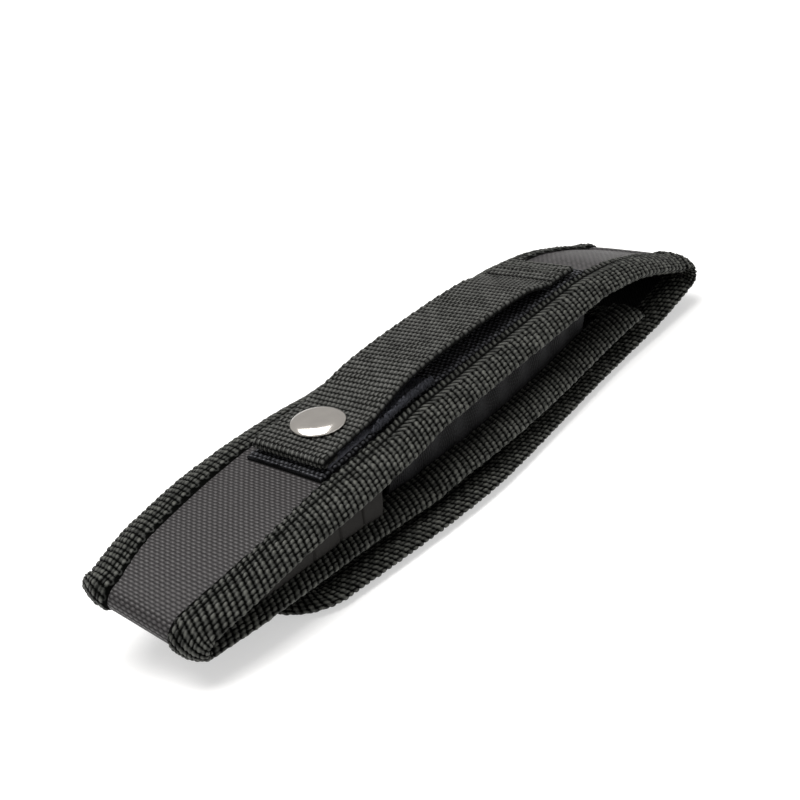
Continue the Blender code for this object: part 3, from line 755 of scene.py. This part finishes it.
def make_mouth():
    """The tape over the front panel's free edge."""
    low, high = front_edges(MOUTH_RUN)
    low, high = low + COVER - 0.6, high - COVER + 0.6
    height = curve(FRONT_HEIGHT, MOUTH_RUN)

    def surface(s, out, level):
        return np.stack(np.broadcast_arrays(MOUTH_RUN + out, s, height - level), -1)

    tape = tape_piece("mouth_tape", float(low), float(high), surface, "pouch", 51)
    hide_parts("mouth_binding")


class Weave:
    """Relief and painted shade of a flat webbing with rounded selvedges; the shade is darkest in the creases
    between yarns.
    """

    def __init__(self, weft, warp, amplitude, seed):
        self.weft, self.warp, self.amplitude, self.seed = weft, warp, amplitude, seed

    def __call__(self, s, across):
        s = s + 0.07 * hum(s, across, 4.0, self.seed)
        fields = plain_weave(s, across + 0.05 * hum(s, across, 3.0, self.seed + 1), self.weft, self.warp,
                             (0.50, 0.56, 0.6), (0.53, 0.64, 1.0))
        uneven = 1 + 0.12 * hum(s, across, 1.5, self.seed + 2)
        return tuple(np.clip(field * uneven, 0, 1) for field in fields)


STRAP_WEAVE = Weave(1.66, 0.6, 0.42, 81)
BASE_WEAVE = Weave(1.3, 0.62, 0.38, 61)


def stitch_row(points, length, gap, radius):
    """Capsule-shaped stitches along a polyline of millimetre points, as (centreline, radii) pairs."""
    at = distances(points)
    stitches = []
    for start in np.arange(0, at[-1] - length, length + gap):
        centre = np.stack([np.interp(np.linspace(start, start + length, 6), at, points[:, k])
                           for k in range(3)], -1)
        stitches.append((centre, radius * np.array([0.35, 0.9, 1, 1, 0.9, 0.35])))
    return stitches


def tubes(strands, sides=6):
    """One mesh of closed tubes from (centreline, radii) pairs; ends are capped."""
    verts, quads, caps, relief_and_painted_shade = [], [], [], []
    total = 0
    turn = np.linspace(0, 2 * np.pi, sides, endpoint=False)
    for centre, radii in strands:
        tangent = unit(np.gradient(centre, axis=0))
        guide = np.where(np.abs(tangent[:, 2:3]) > 0.9, [[1.0, 0, 0]], [[0, 0, 1.0]])
        side = unit(np.cross(tangent, guide))
        up = np.cross(side, tangent)
        ring = (centre[:, None] + np.asarray(radii)[:, None, None]
                * (np.cos(turn)[None, :, None] * side[:, None] + np.sin(turn)[None, :, None] * up[:, None]))
        body, ends = ring_faces(len(centre), sides, total)
        verts.append(ring.reshape(-1, 3))
        quads.append(body[:, ::-1])
        caps.append(ends[:, ::-1])
        # painted shade: each tube is lighter on its upper side and darker underneath
        relief_and_painted_shade.append(np.tile(0.65 + 0.35 * np.sin(turn), len(centre)))
        total += len(centre) * sides
    return np.concatenate(verts), [np.concatenate(quads), np.concatenate(caps)], np.concatenate(relief_and_painted_shade)


def tube_piece(name, strands, material, body, sides=6, place=straight):
    strands = [(place(centre), radii) for centre, radii in strands]
    verts, faces, relief_and_painted_shade = tubes(strands, sides)
    uv = np.stack([verts[:, 0] * 2, verts[:, 1] * 2], -1)
    return make_piece(name, verts, faces, material, body, uv, relief_and_painted_shade, 0)


def pile_strands(path, s_range, across, out, count, seed, height=0.55):
    """Small arched loops of fibre standing on a pad."""
    rng = np.random.default_rng(seed)
    strands = []
    for s, y, turn, size in zip(rng.uniform(*s_range, count), rng.uniform(min(across), max(across), count),
                                rng.uniform(0, 2 * np.pi, count), rng.uniform(0.6, 1.3, count)):
        t = np.linspace(0, 1, 5)
        along = (t - 0.5) * 0.9 * size
        rise = out - 0.05 + np.sin(np.pi * t) * height * size
        strands.append((path.point(s + along * np.cos(turn), y + along * np.sin(turn), rise),
                        np.full(5, 0.09)))
    return strands


BASE_RUNS, BASE_HALF = (49.5, 153.5), 10.6
# (runs, across) of the fuzzy pad under the strap and of its two strips beside the snap
LOOP_PADS = (((69.0, 92.0), (-10.4, 10.4)), ((53.5, 69.0), (-9.7, -5.4)), ((53.5, 69.0), (5.4, 9.7)))
PILE_PER_AREA = 2.5
ANCHOR_STITCH_RUNS = (145.6, 147.8, 149.8)
STITCH_ACROSS = np.linspace(-9.0, 9.0, 30)


def make_belt_side():
    """The base webbing, its loop pads with their fibres, and the strap's sewn end with its threads."""
    base = slab("base_webbing_cloth", BODY, [back_s(run) for run in BASE_RUNS], -BASE_HALF, BASE_HALF,
                *BASE_LAYER, BASE, "pouch", twist, 0.24, 0.26, relief_and_painted_shade=BASE_WEAVE)
    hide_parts("base_webbing")
    for number, (runs, across) in enumerate(LOOP_PADS):
        s_range = (back_s(runs[1]), back_s(runs[0]))
        pad = slab(f"loop_pad_{number}", BODY, s_range, *across, *BACK_PAD_LAYER, PILE, "pouch", twist, 0.4,
                   0.4, lambda s, y: 0.1 * hum(s, y, 0.9, 71))
        if number == 0:
            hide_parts("belt_loop_pad")
        area = (runs[1] - runs[0]) * (across[1] - across[0])
        strands = pile_strands(BODY, s_range, across, 1.9, int(area * PILE_PER_AREA), 72 + number)
        if number == 0:
            for side, edge in ((-1, across[0]), (1, across[1])):
                strands += pile_strands(BODY, s_range, (edge - 0.3, edge + 0.9 * side + 0.3), 1.8, 260,
                                        90 + side, 1.5)
        fuzz = tube_piece(f"loop_pile_{number}", strands, PILE, "pouch", 3, twist)
    anchor_path = strap_path(ANCHOR_RUNS[0] - 1, ANCHOR_RUNS[1] + 1)
    anchor_start = anchor_path.s_at_run(ANCHOR_RUNS[0] + 0.15)
    anchor = slab("strap_sewn_end", anchor_path, (anchor_start, anchor_path.s_at_run(ANCHOR_RUNS[1])),
                  -WEBBING_HALF, WEBBING_HALF, *ANCHOR_LAYER, WEBBING, "pouch", twist, 0.22, 0.24,
                  lambda s, y: crease(s - anchor_start) + 0 * y, relief_and_painted_shade=STRAP_WEAVE)
    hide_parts("strap_anchor")
    stitches = []
    for run in ANCHOR_STITCH_RUNS:
        s = anchor_path.s_at_run(run) + 0 * STITCH_ACROSS
        stitches += stitch_row(anchor_path.point(s, STITCH_ACROSS, 0.12 + 0 * s), 1.7, 0.45, 0.24)
    thread = tube_piece("anchor_stitches", stitches, THREAD, "pouch", 6, twist)


CREASE_DEPTH, CREASE_LENGTH = 0.32, 0.5
HEM_RADIUS = 1.36  # the strap's tip is folded under into a hem
HEM_LENGTH = 5.6
HEM_STITCH_RUN = 55.6
OVER_HEM = slice(60, None)  # the part of the strap's path above its hem
STRAP_HOOK_RUNS, STRAP_HOOK_HALF = (69.0, 90.0), 8.5


def crease(distance):
    """How deep the webbing dips beside the line that the strap turns about."""
    return -CREASE_DEPTH * np.clip(1 - distance / CREASE_LENGTH, 0, 1)


def folded_strap_path():
    """The strap's outer face from the hem under its tip, round the tip and up to the sewn end."""
    def top(run):
        return curve(BACK_HEIGHT, run) + curve(STRAP_RISE, run)

    middle = STRAP_TIP_RUN + HEM_RADIUS
    hem = np.arange(STRAP_TIP_RUN + HEM_LENGTH, middle, -0.25)
    turn = np.radians(np.arange(0, 181, 12))
    over = np.arange(middle, ANCHOR_RUNS[0] + 0.01, 0.25)[1:]
    run = np.concatenate([hem, middle - HEM_RADIUS * np.sin(turn), over])
    tip = top(middle) - HEM_RADIUS * (1 + np.cos(turn))
    height = np.concatenate([top(hem) - 2 * HEM_RADIUS, tip, top(over)])
    return Path(run, height, -WEBBING_HALF, WEBBING_HALF, 0.0, 1)


def make_strap():
    """The belt strap with its hem and thread, and the hook tape under it."""
    path = folded_strap_path()
    strap = slab("belt_strap_webbing", path, (0.0, path.length), -WEBBING_HALF, WEBBING_HALF,
                 *STRAP_LAYER, WEBBING, "strap", twist, 0.2, 0.2,
                 lambda s, y: crease(path.length - s) + 0 * y, relief_and_painted_shade=STRAP_WEAVE)
    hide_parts("belt_strap")
    under = strap_path(*STRAP_HOOK_RUNS)
    pad = slab("strap_hook_tape", under, (0.0, under.length), -STRAP_HOOK_HALF, STRAP_HOOK_HALF,
               *STRAP_HOOK_LAYER, HOOKS, "strap", twist, 0.6, 0.6)
    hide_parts("strap_hook_pad")
    s = path.s_at_run(HEM_STITCH_RUN, OVER_HEM) + 0 * STITCH_ACROSS
    stitches = stitch_row(path.point(s, STITCH_ACROSS, 0.05 + 0 * s), 1.9, 0.5, 0.2)
    thread = tube_piece("strap_stitches", stitches, THREAD, "strap", 6, twist)


# ---- snap
CAP_RADIUS, CAP_RIM, CAP_CROWN = 6.3, 0.42, 1.3
BARREL_RADIUS, BARREL_LENGTH = 1.5, 2.2
SNAP_SIDES, SHARP_ANGLE = 96, 35
# (radius, height) pairs round each piece's section
SOCKET_SECTION = ((1.9, 0.0), (4.8, 0.0), (5.0, -0.2), (5.0, -0.6), (4.7, -0.8), (2.9, -0.8), (2.6, -0.5),
                  (1.9, -0.4))
STUD_SECTION = ((1.9, 0.0), (4.2, 0.0), (4.2, 0.25), (3.8, 0.4), (2.6, 0.4), (2.4, 0.6), (1.9, 0.6))
RIVET_SECTION = ((0.0, 0.0), (3.4, 0.0), (3.6, 0.15), (3.5, 0.4), (1.6, 0.45), (1.6, 3.4), (1.3, 3.55),
                 (0.0, 3.55))
SOCKET_DROP, STUD_RISE, RIVET_DROP = 1.7, 1.6, 1.1


def turned(name, profile, material, body, node, height):
    """A round piece from (radius, height) pairs, on the snap's axis and tilted with the pouch."""
    turn = np.linspace(0, 2 * np.pi, SNAP_SIDES, endpoint=False)
    profile = np.array(profile, float)
    n = len(profile)
    ring = np.stack([np.cos(turn)[:, None] * profile[:, 0], np.sin(turn)[:, None] * profile[:, 0],
                     profile[:, 1] + 0 * turn[:, None]], -1)
    roll = math.radians(float(curve(TWIST_DEGREES, SNAP_RUN)))
    y, z = ring[..., 1].copy(), ring[..., 2].copy()
    ring[..., 1] = y * math.cos(roll) - z * math.sin(roll)
    ring[..., 2] = y * math.sin(roll) + z * math.cos(roll)
    centre = twist(np.array([SNAP_RUN, 0.0, height]))
    verts = ring.reshape(-1, 3) + centre
    i, j = np.meshgrid(np.arange(SNAP_SIDES), np.arange(n - 1), indexing="ij")
    i2 = (i + 1) % SNAP_SIDES
    quads = np.stack([i * n + j, i2 * n + j, i2 * n + j + 1, i * n + j + 1], -1).reshape(-1, 4)
    if profile[0][0] > 0:
        i, i2 = i[:, 0], i2[:, 0]
        quads = np.concatenate([quads, np.stack([i * n + n - 1, i2 * n + n - 1, i2 * n, i * n], -1)])
    if volume_sign(verts, quads) < 0:
        quads = quads[:, ::-1]
    piece = make_piece(name, verts, [quads], material, body, None, None, SHARP_ANGLE)
    mesh = bmesh.new()
    mesh.from_mesh(piece.data)
    bmesh.ops.remove_doubles(mesh, verts=mesh.verts, dist=1e-7)
    mesh.to_mesh(piece.data)
    mesh.free()
    piece.data.shade_smooth()
    piece.data.set_sharp_from_angle(angle=math.radians(SHARP_ANGLE))
    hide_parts(node)


def cap_section():
    """The cap's barrel, flat underside, rolled rim and domed top."""
    turns = np.radians(np.arange(-90, 61, 15))
    rim = [(CAP_RADIUS - 0.35 + CAP_RIM * np.cos(turn), 0.55 + CAP_RIM * np.sin(turn)) for turn in turns]
    start_r, start_z = rim[-1]
    dome = []
    for share in np.arange(1, 25) / 24:
        r = start_r * (1 - share)
        dome.append((r, start_z + (CAP_CROWN - start_z + 0.55) * (1 - (r / start_r) ** 4.5)))
    barrel = [(0.0, -BARREL_LENGTH), (BARREL_RADIUS, -BARREL_LENGTH), (BARREL_RADIUS, 0.0),
              (CAP_RADIUS - 0.9, 0.12)]
    return barrel + rim + dome


def make_snap():
    back_top = float(curve(BACK_HEIGHT, SNAP_RUN))
    strap_top = float(curve(BACK_HEIGHT, SNAP_RUN) + curve(STRAP_RISE, SNAP_RUN))
    turned("snap_cap_dome", cap_section(), CAP_METAL, "strap", "snap_cap", strap_top)
    turned("snap_socket_ring", SOCKET_SECTION, SNAP_METAL, "strap", "snap_socket", strap_top - SOCKET_DROP)
    turned("snap_stud_ring", STUD_SECTION, SNAP_METAL, "pouch", "snap_stud", back_top + STUD_RISE)
    turned("snap_rivet_post", RIVET_SECTION, SNAP_METAL, "pouch", "snap_rivet", back_top - RIVET_DROP)


# ---- fold and flap
FOLD_SQUASH = -2.0  # below this level the tape is pressed flatter inside the tight fold
CLOSURE_RUNS, CLOSURE_HALF = (62.0, 102.0), 10.0  # the flap's hook pad and the loop pad facing it


def make_fold():
    """The cloth and the two tapes of the top fold, which turns over between the pouch and the flap."""
    cloth = slab("fold_cloth", FOLD, (0.0, FOLD.length), lambda s: FOLD.edge(s, -1) + INSET,
                 lambda s: FOLD.edge(s, 1) - INSET, *FOLD_LAYER, NYLON, None, straight, 0.35, 0.8)
    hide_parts("fold_panel")
    pieces = [cloth]
    for side, word in ((-1, "near"), (1, "far")):
        def surface(s, out, level, side=side):
            level = np.where(level < FOLD_SQUASH, FOLD_SQUASH + (level - FOLD_SQUASH) * 0.35, level)
            return FOLD.point(s, FOLD.edge(s, side) + side * out, level)

        fields = dict(wider=lambda s: TAPE_EXTRA * (1 - s / FOLD.length)) if side < 0 else {}
        tape = tape_piece("fold_tape_" + word, FOLD.length, 0.0, surface, None, sense=-1, **TAPE_STYLES[side],
                          **fields)
        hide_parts("fold_binding_" + word)
        pieces.append(tape)
    top, bottom = float(curve(BACK_HEIGHT, FOLD_RUN)), float(flap_face(FOLD_RUN))
    for piece in pieces:
        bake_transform(piece)


def flap_outline():
    """Points round the flap's edge, from the near side of the fold past the tip to the far side."""
    corner = FLAP_TIP_RUN + TIP_RADIUS
    runs = np.arange(FOLD_RUN, corner, -0.5)
    low, high = flap_sides(runs)
    corner_low, corner_high = flap_sides(corner)
    turn = np.linspace(0, np.pi / 2, 40)
    arc_run, arc_inset = corner - TIP_RADIUS * np.sin(turn), TIP_RADIUS * (1 - np.cos(turn))
    near = [np.stack([runs, low], -1), np.stack([arc_run, corner_low + arc_inset], -1)]
    far = [np.stack([arc_run, corner_high - arc_inset], -1)[::-1], np.stack([runs, high], -1)[::-1]]
    return np.concatenate(near + far)


def make_flap():
    """The flap's layers, the tape round its edge, and the closure pads between it and the front panel."""
    def narrow(s, side):
        inset = np.maximum(0, TIP_RADIUS - (FLAP.run_at(s) - FLAP_TIP_RUN))
        cut = TIP_RADIUS - np.sqrt(np.maximum(0, TIP_RADIUS ** 2 - inset ** 2))
        return FLAP.edge(s, side) - side * (cut + INSET)

    span = (INSET, FLAP.length)
    layers = (("flap_cloth", CLOTH_LAYER, NYLON, "flap_shell", "nylon", 0.8),
              ("flap_foam", FOAM_LAYER, FOAM, "flap_core", "foam", 2.0),
              ("flap_inside", LINING_LAYER, LINING, "flap_lining", "nylon", 1.0))
    for name, depths, material, node, slot, step in layers:
        piece = slab(name, FLAP, span, lambda s: narrow(s, -1), lambda s: narrow(s, 1), *depths, material,
                     "flap", straight, step, step)
        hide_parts(node)
    outline = flap_outline()
    outline = outline[np.diff(distances(outline), prepend=-1) > 1e-6]
    at = distances(outline)
    tangent = unit(np.gradient(outline, axis=0))
    outward = np.stack([-tangent[:, 1], tangent[:, 0]], -1)
    if ((outline - outline.mean(0)) * outward).sum() < 0:
        outward = -outward
    kernel = np.ones(9) / 9
    outward = np.stack([np.convolve(np.pad(c, 4, mode="edge"), kernel, "valid") for c in outward.T], -1)

    def surface(s, out, level):
        run, y = (np.interp(s, at, outline[:, k]) for k in (0, 1))
        nx, ny = (np.interp(s, at, outward[:, k]) for k in (0, 1))
        run_p = np.maximum(run + nx * out, FLAP_TIP_RUN - 2)
        return np.stack([run_p, y + ny * out, flap_face(run_p) - level], -1)

    tape = tape_piece("flap_tape", 0.0, at[-1], surface, "flap", 91, step=0.33)
    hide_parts("flap_binding")
    hook_s = [FLAP.s_at_run(run) for run in CLOSURE_RUNS]
    pad = slab("flap_hook_tape", FLAP, hook_s, -CLOSURE_HALF, CLOSURE_HALF, *FLAP_HOOK_LAYER, HOOKS, "flap",
               straight, 0.8, 0.8)
    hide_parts("flap_hook_pad")
    loop_s = [front_s(run) for run in CLOSURE_RUNS]
    loop = slab("front_loop_cloth", BODY, loop_s, -CLOSURE_HALF, CLOSURE_HALF, *FRONT_PAD_LAYER, PILE,
                "pouch", twist, 0.8, 0.8)
    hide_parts("front_loop_pad")


# ---- stage
FLOOR_HALF, FLOOR_GLOW = 3.0, 0.52
SURROUND_POWER = 0.42
LAMP_PLACE, LAMP_SIZE, LAMP_POWER = (-0.08, 0.1, 0.85), 0.75, 11.5
CAMERA_PLACE = (-0.39392, -0.37339, 0.2778)
CAMERA_TURN = (63.8604, 11.997, -52.0023)  # degrees about X, Y and Z
CAMERA_LENS, CAMERA_SENSOR = 117.43, 36.0


def make_stage():
    """A pale floor, a dim even surround and one large soft lamp overhead."""
    floor_mesh = bpy.data.meshes.new("floor")
    corners = [(x * FLOOR_HALF, y * FLOOR_HALF, 0) for x, y in ((-1, -1), (1, -1), (1, 1), (-1, 1))]
    floor_mesh.from_pydata(corners, [], [(0, 1, 2, 3)])
    floor = placed("floor", floor_mesh)
    tree = Tree("pale_floor")
    floor_mesh.materials.append(tree.finish((0.6, 0.6, 0.6, 1), 0.9, Specular_IOR_Level=0.1,
                                            Emission_Color=(1, 1, 1, 1),
                                            Emission_Strength=FLOOR_GLOW))
    world = bpy.data.worlds.new("studio")
    bpy.context.scene.world = world
    world.use_nodes = True
    background = world.node_tree.nodes["Background"]
    background.inputs[0].default_value = (1.0, 0.985, 0.965, 1)
    background.inputs[1].default_value = SURROUND_POWER
    data = bpy.data.lights.new("top_box", "AREA")
    data.shape, data.size, data.size_y = "RECTANGLE", LAMP_SIZE, LAMP_SIZE
    data.energy, data.color = LAMP_POWER, (1, 0.99, 0.975)
    lamp = placed("top_box", data)
    lamp.location = LAMP_PLACE
    lamp.rotation_mode = "QUATERNION"
    lamp.rotation_quaternion = (-Vector(LAMP_PLACE)).to_track_quat("-Z", "Y")


def make_camera():
    data = bpy.data.cameras.new("camera")
    data.sensor_width, data.lens = CAMERA_SENSOR, CAMERA_LENS
    data.clip_start, data.clip_end = 0.05, 20.0
    camera = placed("camera", data)
    camera.location = CAMERA_PLACE
    camera.rotation_euler = [math.radians(angle) for angle in CAMERA_TURN]
    bpy.context.scene.camera = camera
    bpy.context.scene.view_settings.view_transform = "Standard"


make_pouch()
make_mouth()
make_belt_side()
make_strap()
make_snap()
make_fold()
make_flap()
make_stage()
make_camera()
